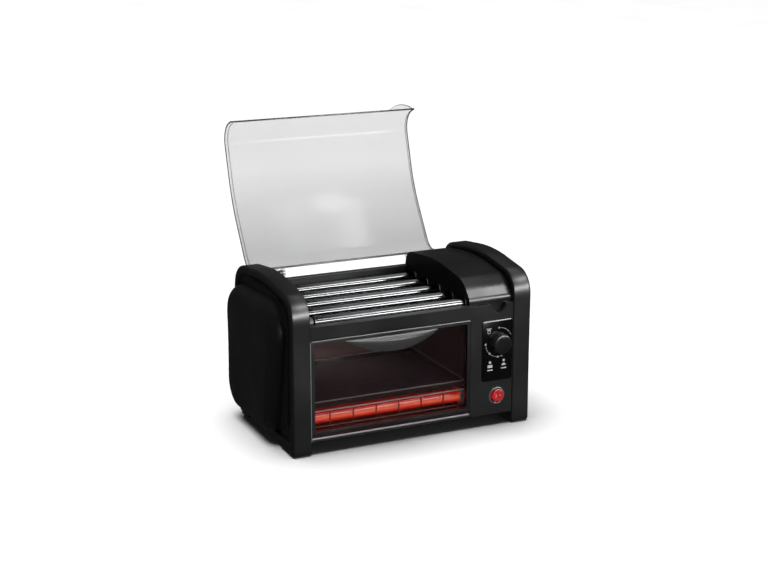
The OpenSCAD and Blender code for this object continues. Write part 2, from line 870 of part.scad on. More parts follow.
module door_handle() {
    half = handle_l / 2;
    drop = handle_h;
    grip = 2.6;
    back = glass_y;
    low_front = 9;
    base = 1.5;
    inner = half - grip - 2;
    under = handle_top - drop - 1;
    color("#2a2a2c") placed() difference() {
        translate([door_mid, 0, 0]) difference() {
            intersection() {
                xz(bow(half, drop, handle_top), front_y - handle_out - 1, back);
                translate([0, 0, under]) linear_extrude(drop + 2)
                    polygon(concat([[-half, back]], bow(half, handle_out, front_y), [[half, back]]));
                yz([[back, under], [back, handle_top],
                    [front_y - 2, handle_top], [front_y - handle_out, handle_top - low_front],
                    [front_y - handle_out, under]], -half, half);
            }
            intersection() {
                xz(bow(inner, drop - grip, handle_top + 0.2), front_y - handle_out, front_y - base);
                translate([0, 0, under + 1]) linear_extrude(drop + 2)
                    polygon(bow(inner, handle_out - grip - base, front_y - base));
            }
        }
        handle_screw_places() y_rod(screw_r, front_y - screw_in - 1, back + 1, 0, 0);
    }
}

module handle_screws() {
    head_r = 2.8;
    back = glass_y + glass_t;
    head = back + 2;
    color("#b9bbbd") placed() handle_screw_places() union() {
        y_rod(screw_r, front_y - screw_in, head, 0, 0);
        y_rod(head_r, back, head, 0, 0);
    }
}

module door_pins() {
    color("#9c9ea0") placed() {
        x_rod(door_pin_r, -cap_x - pin_out, door_l + pin_depth, door_axis_y, door_axis_z);
        x_rod(door_pin_r, door_r - pin_depth, bulkhead_x, door_axis_y, door_axis_z);
    }
}

// ---------- lid ----------

module lid() {
    tab_half = 19;
    tab_out = 8;
    tab_t = 2.5;
    tab_z = lid_path[0][1];
    tab_x = scoop_x - 2;
    cheek_l = ear_w / 2 + pin_gap;
    color([0.8, 0.82, 0.84, 0.4]) placed() translate([0, hinge_y, hinge_z]) rotate([-lid_open, 0, 0])
        translate([0, -hinge_y, -hinge_z]) difference() {
            union() {
                yz(lid_section, -lid_half, lid_half);
                translate([tab_x, lid_path[0][0] + 1, tab_z]) linear_extrude(tab_t)
                    polygon(bow(tab_half, tab_out + 1, 0));
                for (x = [-lid_hinge_x, lid_hinge_x], s = [-1, 1]) {
                    x0 = x + (s > 0 ? cheek_l : -cheek_l - cheek_w);
                    x_rod(ear_r + pin_gap, x0, x0 + cheek_w, hinge_y, hinge_z);
                    yz([[cheek_y, hinge_z - cheek_low], [hinge_y, hinge_z - ear_r],
                        [hinge_y, hinge_z + ear_r], [cheek_y, hinge_z + cheek_high]],
                       x0, x0 + cheek_w);
                }
            }
            for (x = [-lid_hinge_x, lid_hinge_x])
                x_rod(lid_pin_r, x - cheek_l - cheek_w - 1, x + cheek_l + cheek_w + 1, hinge_y, hinge_z);
        }
}

module lid_pins() {
    reach = ear_w / 2 + pin_gap + cheek_w;
    color("#9c9ea0") placed() for (x = [-lid_hinge_x, lid_hinge_x])
        x_rod(lid_pin_r, x - reach, x + reach, hinge_y, hinge_z);
}

module hinge_brackets() {
    low = back_top - bracket_h;
    high = hinge_z - 7;
    y = rear_y + sheet;
    color("#26282a") placed() for (x = [-lid_hinge_x, lid_hinge_x]) difference() {
        union() {
            x_rod(ear_r, x - ear_w / 2, x + ear_w / 2, hinge_y, hinge_z);
            yz([[y, low + 8], [hinge_y + ear_r, hinge_z - 3], [hinge_y + ear_r, hinge_z],
                [hinge_y - ear_r, hinge_z], [hinge_y - ear_r, high + 1.5], [y, high]],
               x - ear_w / 2, x + ear_w / 2);
            box([x - bracket_half_w, y, low], [x + bracket_half_w, y + bracket_t, high]);
        }
        x_rod(lid_pin_r + run_fit, x - ear_w, x + ear_w, hinge_y, hinge_z);
    }
}

// ---------- fasteners, gland and electrical pieces ----------

// Screw with a domed head on a face that looks along +Y
module rear_screw(x, y, z) {
    y_rod(head_r, y, y + head_t, x, z);
}

module bracket_screws() {
    color("#b9bbbd") placed() for (x = [-lid_hinge_x, lid_hinge_x], s = [-1, 1])
        rear_screw(x + s * bracket_half_w * 2 / 3, rear_y + sheet + bracket_t,
                   back_top - bracket_h + 2 * head_r);
}

module panel_screws() {
    edge = 8;
    color("#b9bbbd") placed()
        for (x = [-cap_x + edge, panel_x + edge - 2, cap_x - edge], z = [base_z + edge, 130])
            rear_screw(x, rear_y + sheet, z);
}

module cord_gland() {
    collar = 3;
    y0 = rear_y - 2 * collar;
    y1 = rear_y + sheet + collar + 1;
    color("#111111") placed() difference() {
        union() {
            y_rod(gland_r, y0, y1, gland_x, gland_z);
            y_rod(gland_r + 2, rear_y + sheet, rear_y + sheet + collar, gland_x, gland_z);
            y_rod(gland_r + 2, rear_y - collar, rear_y, gland_x, gland_z);
        }
        y_rod(cord_r, y0 - 1, y1 + 1, gland_x, gland_z);
    }
}

module thermostat() {
    x0 = bulkhead_x + sheet;
    r = 8;
    y = liner_y - 40;
    z = 100;
    fuse = [6, 24, 6];
    color("#cfd1d3") placed() {
        x_rod(r, x0, x0 + r + 1, y, z);
        translate([x0, y - 4, z - 28]) cube(fuse);
    }
}

module terminal_block() {
    size = [32, 16, 14];
    hole_r = 2;
    pitch = 10;
    corner = [gland_x - 18, rear_y - 40, base_z + sheet];
    color("#e8e6df") placed() translate(corner) difference() {
        cube(size);
        for (i = [0:2]) z_rod(hole_r, 6, size[2] + 1, 6 + i * pitch, size[1] / 2);
    }
}

left_cap();
right_cap();
foot_pads();
base_plate();
back_panel();
left_side_plate();
bulkhead();
oven_back();
oven_ceiling();
fascia();
control_housing();
dial_label();
switch_bezel();
switch_body();
rocker();
timer_body();
timer_bell();
timer_shaft();
timer_knob();
motor();
motor_bracket();
motor_pinion();
roller(0);  // roller_1
roller(1);  // roller_2
roller(2);  // roller_3
roller(3);  // roller_4
roller(4);  // roller_5
roller_gear(0);  // roller_gear_1
roller_gear(1);  // roller_gear_2
roller_gear(2);  // roller_gear_3
roller_gear(3);  // roller_gear_4
roller_gear(4);  // roller_gear_5
idler_gear(0);  // idler_gear_1
idler_gear(1);  // idler_gear_2
idler_gear(2);  // idler_gear_3
idler_gear(3);  // idler_gear_4
idler_posts();
left_bushes();
right_bushes();
lower_heaters();
upper_heaters();
heater_holders();
heater_guard();
bun_tray();
crumb_tray();
door_frame();
door_glass();
door_handle();
door_pins();
handle_screws();
lid();
lid_pins();
hinge_brackets();
bracket_screws();
panel_screws();
cord_gland();
thermostat();
terminal_block();
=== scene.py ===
import math

import bmesh
import bpy
import numpy as np
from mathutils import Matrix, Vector


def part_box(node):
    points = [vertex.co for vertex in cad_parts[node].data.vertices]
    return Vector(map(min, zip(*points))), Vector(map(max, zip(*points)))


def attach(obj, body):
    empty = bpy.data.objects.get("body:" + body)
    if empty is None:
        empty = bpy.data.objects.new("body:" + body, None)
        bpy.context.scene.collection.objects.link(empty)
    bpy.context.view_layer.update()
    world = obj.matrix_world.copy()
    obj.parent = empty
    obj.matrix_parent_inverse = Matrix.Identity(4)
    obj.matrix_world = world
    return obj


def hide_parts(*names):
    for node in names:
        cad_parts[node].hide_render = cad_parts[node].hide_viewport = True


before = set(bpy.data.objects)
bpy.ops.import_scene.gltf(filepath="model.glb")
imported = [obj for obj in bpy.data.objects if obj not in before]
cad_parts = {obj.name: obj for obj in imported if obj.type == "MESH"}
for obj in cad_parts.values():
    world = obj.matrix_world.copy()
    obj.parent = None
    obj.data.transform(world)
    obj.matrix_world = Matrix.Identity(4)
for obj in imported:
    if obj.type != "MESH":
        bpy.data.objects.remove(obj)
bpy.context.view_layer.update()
MM = 0.001

# ---------------------------------------------------------------- places, from the frame

CAP_LO, CAP_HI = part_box("right_cap")
FRONT = CAP_LO.y
REAR = CAP_HI.y
DEPTH = REAR - FRONT
HEIGHT = CAP_HI.z
CAP_IN = CAP_LO.x
BULGE = 18 * MM
RIM_X = CAP_HI.x - BULGE
PAD_T = CAP_LO.z
FOOT_H = 8 * MM
SCOOP_X = CAP_IN - 22.6 * MM
HINGE_X = 100 * MM
FASCIA_Y = FRONT + 1.5 * MM


def yf(mm):
    """Y of a place that many millimetres behind the end caps' front."""
    return FRONT + mm * MM


# ---------------------------------------------------------------- outlines


def unit(v):
    return v / np.linalg.norm(v)


def ring_of(n):
    """n even angles around a circle."""
    return [2 * math.pi * i / n for i in range(n)]


def turned(v, a):
    return np.array([v[0] * math.cos(a) - v[1] * math.sin(a), v[0] * math.sin(a) + v[1] * math.cos(a)])


def arc_at(a, b, c, r, n):
    """Points of the arc of radius r that rounds corner b between a and c."""
    if r <= 0:
        return [b]
    u, v = unit(a - b), unit(c - b)
    half = math.acos(max(-1.0, min(1.0, float(u @ v)))) / 2
    centre = b + unit(u + v) * r / math.sin(half)
    start = b + u * r / math.tan(half) - centre
    cross = (a - b)[0] * (c - b)[1] - (a - b)[1] * (c - b)[0]
    sweep = -math.copysign(math.pi - 2 * half, cross)
    return [centre + turned(start, sweep * i / n) for i in range(n + 1)]


def rounded(corners, n=12):
    """Closed outline from corners (a, b, radius)."""
    flat = [np.array(c[:2], float) for c in corners]
    out = []
    for i, c in enumerate(corners):
        out += arc_at(flat[i - 1], flat[i], flat[(i + 1) % len(flat)], c[2], n)
    return out


def open_path(corners, n=16):
    """Open path from corners (a, b, radius), its two ends square."""
    flat = [np.array(c[:2], float) for c in corners]
    out = [flat[0]]
    for i in range(1, len(corners) - 1):
        out += arc_at(flat[i - 1], flat[i], flat[i + 1], corners[i][2], n)
    return out + [flat[-1]]


def cross2(a, b):
    return a[0] * b[1] - a[1] * b[0]


def cast(outline, centre, angle):
    """Where a ray from centre at that angle leaves a closed outline."""
    d = np.array([math.cos(angle), math.sin(angle)])
    best = None
    for i, p in enumerate(outline):
        e = outline[(i + 1) % len(outline)] - p
        den = cross2(d, e)
        if abs(den) < 1e-12:
            continue
        t = cross2(p - centre, e) / den
        s = cross2(p - centre, d) / den
        if t > 0 and -1e-9 <= s <= 1 + 1e-9 and (best is None or t > best):
            best = t
    return centre + d * best


def shrunk(corners, d):
    """Anticlockwise closed corners moved inwards by d."""
    flat = [np.array(c[:2], float) for c in corners]
    out = []
    for i, c in enumerate(corners):
        a, b, e = flat[i - 1], flat[i], flat[(i + 1) % len(flat)]
        m, n = unit(b - a), unit(e - b)
        m, n = np.array([-m[1], m[0]]), np.array([-n[1], n[0]])
        p = b + (m + n) * d / (1 + m @ n)
        out.append((p[0], p[1], max(0.0002, c[2] - d) if c[2] > 0 else 0))
    return out


# ---------------------------------------------------------------- mesh building


def new_object(name, verts, faces, smooth=True):
    mesh = bpy.data.meshes.new(name)
    mesh.from_pydata([tuple(v) for v in verts], [], faces)
    mesh.validate()
    mesh.update()
    obj = bpy.data.objects.new(name, mesh)
    bpy.context.scene.collection.objects.link(obj)
    if smooth:
        for p in mesh.polygons:
            p.use_smooth = True
    return obj


def loft(name, loops, first="cap", last="cap", closed=True):
    """Skin over loops of equal length. first and last are "cap" to close an end, or "open"."""
    n = len(loops[0])
    verts = [v for loop in loops for v in loop]
    faces = []
    for r in range(len(loops) - 1):
        for i in range(n if closed else n - 1):
            j = (i + 1) % n
            faces.append((r * n + i, r * n + j, (r + 1) * n + j, (r + 1) * n + i))
    if first == "cap":
        faces.append(tuple(range(n - 1, -1, -1)))
    if last == "cap":
        base = (len(loops) - 1) * n
        faces.append(tuple(base + i for i in range(n)))
    return tidy(new_object(name, verts, faces))


def tidy(obj):
    """Welds the mesh and turns its faces outwards."""
    bm = bmesh.new()
    bm.from_mesh(obj.data)
    bmesh.ops.remove_doubles(bm, verts=bm.verts, dist=1e-6)
    bmesh.ops.dissolve_degenerate(bm, edges=bm.edges, dist=1e-7)
    bmesh.ops.recalc_face_normals(bm, faces=bm.faces)
    bm.to_mesh(obj.data)
    bm.free()
    for p in obj.data.polygons:
        p.use_smooth = True
    return obj


def prism_y(name, outline, y0, y1):
    return loft(name, [[(p[0], y, p[1]) for p in outline] for y in (y0, y1)])


def block(name, lo, hi):
    c = [(lo[0], lo[1]), (hi[0], lo[1]), (hi[0], hi[1]), (lo[0], hi[1])]
    return loft(name, [[(p[0], p[1], z) for p in c] for z in (lo[2], hi[2])])


def tube(name, points, radius, sides=12):
    """Round wire along points."""
    pts = [Vector(p) for p in points]
    loops = []
    up = Vector((0, 0, 1))
    for i, p in enumerate(pts):
        t = (pts[min(i + 1, len(pts) - 1)] - pts[max(i - 1, 0)]).normalized()
        if abs(t.dot(up)) > 0.95:
            up = Vector((0, 1, 0)) if abs(t.y) < 0.9 else Vector((1, 0, 0))
        a = t.cross(up).normalized()
        b = t.cross(a).normalized()
        ring = [2 * math.pi * k / sides for k in range(sides)]
        loops.append([p + (a * math.cos(q) + b * math.sin(q)) * radius for q in ring])
    return loft(name, loops)


def join(name, objs):
    """Joins pieces into one object."""
    bm = bmesh.new()
    for o in objs:
        bm.from_mesh(o.data)
        old = o.data
        bpy.data.objects.remove(o)
        bpy.data.meshes.remove(old)
    mesh = bpy.data.meshes.new(name)
    bm.to_mesh(mesh)
    bm.free()
    obj = bpy.data.objects.new(name, mesh)
    bpy.context.scene.collection.objects.link(obj)
    for p in mesh.polygons:
        p.use_smooth = True
    return obj


def soften(obj, width, segments=3, angle=30):
    """Rounds the sharp edges of a piece or of a CAD node by modifiers."""
    weld = obj.modifiers.new("weld", "WELD")
    weld.merge_threshold = 1e-5
    bevel = obj.modifiers.new("bevel", "BEVEL")
    bevel.width = width
    bevel.segments = segments
    bevel.limit_method = "ANGLE"
    bevel.angle_limit = math.radians(angle)
    bevel.harden_normals = False
    for p in obj.data.polygons:
        p.use_smooth = True
    by_angle = obj.modifiers.new("shade", "WEIGHTED_NORMAL")
    by_angle.keep_sharp = True
    by_angle.weight = 80
    return obj


def cut(obj, cutter, mode="DIFFERENCE"):
    """Applies a boolean with a throw-away piece."""
    m = obj.modifiers.new("cut", "BOOLEAN")
    m.operation = mode
    m.solver = "EXACT"
    m.object = cutter
    bpy.context.view_layer.update()
    mesh = bpy.data.meshes.new_from_object(obj.evaluated_get(bpy.context.evaluated_depsgraph_get()))
    obj.modifiers.remove(m)
    old = obj.data
    obj.data = mesh
    bpy.data.meshes.remove(old)
    gone = cutter.data
    bpy.data.objects.remove(cutter)
    bpy.data.meshes.remove(gone)
    return obj


def place(obj, body, material, replaces=()):
    """Gives a piece its material and body, and hides the CAD nodes that it stands for."""
    obj.data.materials.clear()
    obj.data.materials.append(material)
    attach(obj, body)
    if replaces:
        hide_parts(*replaces)
    return obj


# ---------------------------------------------------------------- materials


class Look:
    """One procedural material: a Principled shader with named noise layers behind it."""

    def __init__(self, name, color, rough, metal=0.0, specular=0.5, **sockets):
        self.mat = bpy.data.materials.new(name)
        self.mat.use_nodes = True
        self.tree = self.mat.node_tree
        self.shader = self.tree.nodes["Principled BSDF"]
        self.coords = self.node("ShaderNodeTexCoord").outputs["Object"]
        self.color = color
        self.set("Base Color", (*color, 1))
        self.set("Roughness", rough)
        self.set("Metallic", metal)
        self.set("Specular IOR Level", specular)
        for key, value in sockets.items():
            self.set(key.replace("_", " ").title().replace("Ior", "IOR"), value)

    def node(self, kind, **values):
        n = self.tree.nodes.new(kind)
        for key, value in values.items():
            setattr(n, key, value)
        return n

    def link(self, a, b):
        self.tree.links.new(a, b)

    def set(self, socket, value):
        self.shader.inputs[socket].default_value = value

    def noise(self, scale, detail=3.0, stretch=(1, 1, 1), distortion=0.0):
        mapping = self.node("ShaderNodeMapping")
        mapping.inputs["Scale"].default_value = stretch
        self.link(self.coords, mapping.inputs["Vector"])
        n = self.node("ShaderNodeTexNoise")
        n.inputs["Scale"].default_value = scale
        n.inputs["Detail"].default_value = detail
        n.inputs["Distortion"].default_value = distortion
        self.link(mapping.outputs["Vector"], n.inputs["Vector"])
        return n.outputs["Fac"]

    def ranged(self, fac, low, high, from_low=0.3, from_high=0.7):
        r = self.node("ShaderNodeMapRange")
        r.inputs["From Min"].default_value = from_low
        r.inputs["From Max"].default_value = from_high
        r.inputs["To Min"].default_value = low
        r.inputs["To Max"].default_value = high
        self.link(fac, r.inputs["Value"])
        return r.outputs["Result"]

    def along(self, axis, centre=None):
        """Object coordinate along an axis, or its distance from a centre."""
        split = self.node("ShaderNodeSeparateXYZ")
        self.link(self.coords, split.inputs[0])
        out = split.outputs[axis]
        if centre is None:
            return out
        for operation, value in (("SUBTRACT", centre), ("ABSOLUTE", 0)):
            step = self.node("ShaderNodeMath", operation=operation)
            step.inputs[1].default_value = value
            self.link(out, step.inputs[0])
            out = step.outputs[0]
        return out

    def tint(self, fac, other):
        """Mixes the base colour towards another by fac."""
        mix = self.node("ShaderNodeMix", data_type="RGBA")
        mix.inputs[6].default_value = (*self.color, 1)
        mix.inputs[7].default_value = (*other, 1)
        self.link(fac, mix.inputs[0])
        self.link(mix.outputs[2], self.shader.inputs["Base Color"])
        return self

    def roughness(self, fac, low, high):
        self.link(self.ranged(fac, low, high), self.shader.inputs["Roughness"])
        return self

    def bump(self, fac, height, strength=1.0):
        b = self.node("ShaderNodeBump")
        b.inputs["Strength"].default_value = strength
        b.inputs["Distance"].default_value = height
        self.link(fac, b.inputs["Height"])
        self.link(b.outputs["Normal"], self.shader.inputs["Normal"])
        return self


def edge_wear(look, lighter, amount=0.35):
    """Slightly lighter, worn edges where the surface bends outwards."""
    geo = look.node("ShaderNodeNewGeometry").outputs["Pointiness"]
    worn = look.ranged(geo, 0.0, amount, 0.51, 0.56)
    return look.tint(worn, lighter)


def plastic(name, color, rough, grain=0.00003, grain_scale=2600, specular=0.4, wear=None):
    look = Look(name, color, rough, specular=specular)
    fine = look.noise(grain_scale, 2.0)
    broad = look.noise(14, 3.0)
    look.roughness(broad, rough - 0.05, rough + 0.06)
    look.bump(fine, grain, 0.5)
    if wear:
        edge_wear(look, wear)
    return look.mat


def brushed(name, color, rough, along=(1, 1, 1), scale=900, depth=0.00002):
    look = Look(name, color, rough, metal=1.0)
    streaks = look.noise(scale, 4.0, stretch=along)
    blotch = look.noise(9, 3.0)
    look.roughness(streaks, rough - 0.07, rough + 0.1)
    look.bump(streaks, depth, 0.35)
    look.tint(look.ranged(blotch, 0.0, 0.5), tuple(c * 0.82 for c in color))
    return look.mat


def painted_sheet(name, color, rough):
    look = Look(name, color, rough, metal=0.0, specular=0.5, coat_weight=0.25, coat_roughness=0.2)
    peel = look.noise(420, 2.0)
    look.bump(peel, 0.00004, 0.35)
    look.roughness(look.noise(20, 3.0), rough - 0.06, rough + 0.08)
    return look.mat


def glowing(name, color, strength, highlight_colour, centre_z, radius):
    """Glowing quartz: its own deep red glow, darkest at its rims, with a painted highlight in hot orange
    along its middle.
    """
    look = Look(name, color, 0.25, specular=0.5)
    # painted highlight: the glow grows to the highlight colour towards the tube's middle height at centre_z,
    # and falls to dark red at its rims
    middle_highlight = look.ranged(look.along("Z", centre_z), 1.0, 0.0, 0.0, radius)
    mottled = look.ranged(look.noise(40, 3.0, (1, 4, 4)), 0.75, 1.0)
    both = look.node("ShaderNodeMath", operation="MULTIPLY")
    look.link(middle_highlight, both.inputs[0])
    look.link(mottled, both.inputs[1])
    ramp = look.node("ShaderNodeValToRGB")
    ramp.color_ramp.elements[0].position = 0.0
    ramp.color_ramp.elements[0].color = (0.10, 0.002, 0.001, 1)
    ramp.color_ramp.elements[1].position = 0.95
    ramp.color_ramp.elements[1].color = (*highlight_colour, 1)
    deep = ramp.color_ramp.elements.new(0.45)
    deep.color = (*color, 1)
    look.link(both.outputs[0], ramp.inputs["Fac"])
    look.link(ramp.outputs["Color"], look.shader.inputs["Emission Color"])
    look.set("Emission Strength", strength)
    return look.mat


def edge_highlit(name, low, high, z):
    """Metal in its low colour below a height, and bright above it with a painted highlight along its upper
    edge.
    """
    look = Look(name, low, 0.3, specular=0.5)
    look.tint(look.ranged(look.along("Z"), 0.0, 1.0, z - 0.3 * MM, z + 0.3 * MM), high)
    look.roughness(look.noise(300, 3.0, (0.1, 4, 4)), 0.25, 0.4)
    return look.mat


BLACK = plastic("cap_plastic", (0.0050, 0.0050, 0.0053), 0.36, specular=0.45, wear=(0.014, 0.014, 0.0143))
FASCIA = plastic("fascia_plastic", (0.0150, 0.0142, 0.0154), 0.36, specular=0.24, wear=(0.026, 0.025, 0.0265))
HOUSING = plastic("housing_plastic", (0.0050, 0.0050, 0.0053), 0.29, specular=0.32,
                  wear=(0.009, 0.009, 0.0093))
RUBBER = plastic("pad_rubber", (0.075, 0.075, 0.077), 0.75, grain=0.00008, grain_scale=900, specular=0.2)
SHEET = brushed("steel_sheet", (0.34, 0.345, 0.35), 0.38, along=(1, 6, 6))
DARK_SHEET = painted_sheet("black_sheet", (0.010, 0.0105, 0.011), 0.4)
OVEN_SHEET = brushed("oven_steel", (0.15, 0.11, 0.10), 0.45, along=(1, 6, 6))
DOOR_BLACK = painted_sheet("door_black", (0.010, 0.010, 0.0105), 0.34)
ROLLER = brushed("roller_steel", (0.065, 0.066, 0.067), 0.13, along=(1, 0.05, 0.05), scale=300,
                 depth=0.0000005)
NYLON = plastic("gear_nylon", (0.70, 0.66, 0.54), 0.45, specular=0.45)
WHITE_BUSH = plastic("bush_white", (0.76, 0.74, 0.68), 0.4)
GREY_BUSH = plastic("bush_grey", (0.05, 0.05, 0.052), 0.42)
CERAMIC = plastic("ceramic", (0.74, 0.72, 0.66), 0.7, grain=0.00006, grain_scale=700)
# Heater guard wires: the red below 50.4 mm is the heaters' glow painted onto the wires, and the near white
# above it is a painted highlight along the top wire.
WIRE = edge_highlit("wire_steel", (0.42, 0.045, 0.03), (0.98, 0.90, 0.88), 50.4 * MM)
# Bun tray and crumb tray: the light line along each one's upper edge is a painted highlight; below it each
# keeps its own dark colour.
TRAY_DARK = edge_highlit("tray_enamel", (0.030, 0.025, 0.030), (0.50, 0.36, 0.38), 63.6 * MM)
TRAY_BRIGHT = edge_highlit("tray_bright", (0.022, 0.022, 0.024), (0.48, 0.48, 0.49), 21.0 * MM)
HANDLE = plastic("handle_plastic", (0.040, 0.040, 0.0415), 0.36, specular=0.4, wear=(0.06, 0.06, 0.061))
PIN = brushed("pin_steel", (0.55, 0.56, 0.57), 0.28)
SCREW = brushed("screw_steel", (0.62, 0.63, 0.64), 0.25)
KNOB = plastic("knob_plastic", (0.007, 0.007, 0.0075), 0.30, specular=0.35, wear=(0.03, 0.03, 0.03))
LABEL = plastic("label_gloss", (0.0035, 0.0035, 0.004), 0.16, grain=0.000005, specular=0.3)
PRINT = plastic("print_white", (0.72, 0.72, 0.72), 0.5)
ROCKER_MARK = plastic("rocker_mark", (0.95, 0.55, 0.55), 0.4)
KNOB_LINE = plastic("knob_line", (0.05, 0.05, 0.05), 0.4)
BEZEL = plastic("bezel_grey", (0.030, 0.030, 0.032), 0.18, specular=0.6, wear=(0.4, 0.4, 0.4))
SWITCH_BLACK = plastic("switch_black", (0.012, 0.012, 0.012), 0.5)
TIMER = brushed("timer_metal", (0.52, 0.47, 0.33), 0.35)
BELL = brushed("bell_steel", (0.7, 0.71, 0.72), 0.16)
MOTOR = brushed("motor_steel", (0.5, 0.51, 0.52), 0.33)
GLAND = plastic("gland_rubber", (0.010, 0.010, 0.010), 0.65)
TERMINAL = plastic("terminal_white", (0.74, 0.72, 0.66), 0.5)
QUARTZ = plastic("heater_quartz", (0.55, 0.48, 0.43), 0.3, specular=0.6)
# Lower heaters' glow, with a painted highlight along the middle of each tube.
GLOW = glowing("heater_glow", (0.52, 0.014, 0.006), 1.0, (1.0, 0.20, 0.10), 40 * MM, 9 * MM)


def glowing_red_button():
    look = Look("rocker_red", (0.46, 0.016, 0.020), 0.16, specular=0.6, coat_weight=0.4)
    # painted glow: the red button is given a faint red glow of its own, 0.10 to 0.18 by noise, that brightens
    # its red
    look.set("Emission Color", (1.0, 0.015, 0.02, 1))
    look.link(look.ranged(look.noise(60, 2.0), 0.10, 0.18), look.shader.inputs["Emission Strength"])
    return look.mat


def clear_sheet(name, tone, alpha, rough=0.04, low=None, span=(0, 1), gloss=0.5):
    """Thin clear plastic or glass: mostly see-through, with gloss and a faint tint. Given low, it is painted
    darker, less see-through, towards its bottom.
    """
    look = Look(name, tone, rough, specular=gloss, ior=1.46)
    if low is None:
        opacity = look.ranged(look.noise(6, 2.0), alpha - 0.02, alpha + 0.02)
    else:
        # painted shade: the sheet grows less see-through, so darker, from alpha at the top of span down to
        # low at its bottom, where it is seen more edge-on
        shade_by_height = look.ranged(look.along("Z"), low, alpha, *span)
        spot = look.node("ShaderNodeMath", operation="MULTIPLY_ADD")
        look.link(look.noise(6, 2.0), spot.inputs[0])
        spot.inputs[1].default_value = 0.03
        look.link(shade_by_height, spot.inputs[2])
        opacity = spot.outputs[0]
    look.link(opacity, look.shader.inputs["Alpha"])
    look.roughness(look.noise(30, 2.0), rough, rough + 0.03)
    look.mat.blend_method = "HASHED"
    return look.mat


RED = glowing_red_button()
# The lid's sheet is painted darker towards its bottom as painted shade: opacity 0.155 at 0.31 m rising to
# 0.40 at 0.19 m.
LID_CLEAR = clear_sheet("lid_clear", (0.20, 0.203, 0.206), 0.155, rough=0.13,
                        low=0.40, span=(0.19, 0.31), gloss=0.2)
LID_RIM = clear_sheet("lid_rim", (0.06, 0.06, 0.062), 0.26)
LID_EDGE = clear_sheet("lid_edge", (0.012, 0.012, 0.013), 0.9)
DOOR_GLASS = clear_sheet("door_glass", (0.030, 0.010, 0.010), 0.24)


# ---------------------------------------------------------------- end caps

CAP_MID = np.array([(FRONT + REAR) / 2, HEIGHT * 0.5])
STEPS = 220


def cap_outline(feet):
    """Corners of an end cap seen from its right side, with or without its two feet."""
    top = [
        (REAR, HEIGHT - 10.5 * MM, 34 * MM),
        (FRONT + 0.5 * DEPTH, HEIGHT + 2.5 * MM, 280 * MM),
        (FRONT, HEIGHT - 13 * MM, 32 * MM),
    ]
    if not feet:
        return [(FRONT, FOOT_H, 3 * MM), (REAR - 4 * MM, FOOT_H, 26 * MM)] + top
    flare = 1.2 * MM
    heel = FRONT + 0.8 * DEPTH
    toe = heel + 30 * MM
    front_end = FRONT + 0.2 * DEPTH
    return [
        (FRONT, PAD_T, 1.0 * MM),
        (front_end, PAD_T, 1.0 * MM),
        (front_end - flare, FOOT_H, 2 * MM),
        (heel + flare, FOOT_H, 2 * MM),
        (heel, PAD_T, 1.0 * MM),
        (toe, PAD_T, 1.0 * MM),
        (toe - flare, FOOT_H + 2 * MM, 3 * MM),
        (REAR, FOOT_H + 26 * MM, 20 * MM),
    ] + top


def side_outline():
    """Corners of the domed panel on the outer side of an end cap."""
    return [
        (FRONT + 0.25 * DEPTH, FOOT_H + 5 * MM, 28 * MM),
        (REAR - 4 * MM, FOOT_H + 7 * MM, 36 * MM),
        (REAR - 4 * MM, HEIGHT - 31 * MM, 40 * MM),
        (FRONT + 14 * MM, HEIGHT - 20 * MM, 45 * MM),
    ]


def cap_angles():
    """Ray angles: even ones, and one through each corner of the outline with feet."""
    even = ring_of(STEPS)
    corners = [np.array(c[:2]) - CAP_MID for c in cap_outline(True)[:8]]
    exact = [math.atan2(c[1], c[0]) % (2 * math.pi) for c in corners]
    near = [a + d for a in exact for d in (-0.006, 0.0, 0.006)]
    return sorted(even + near)


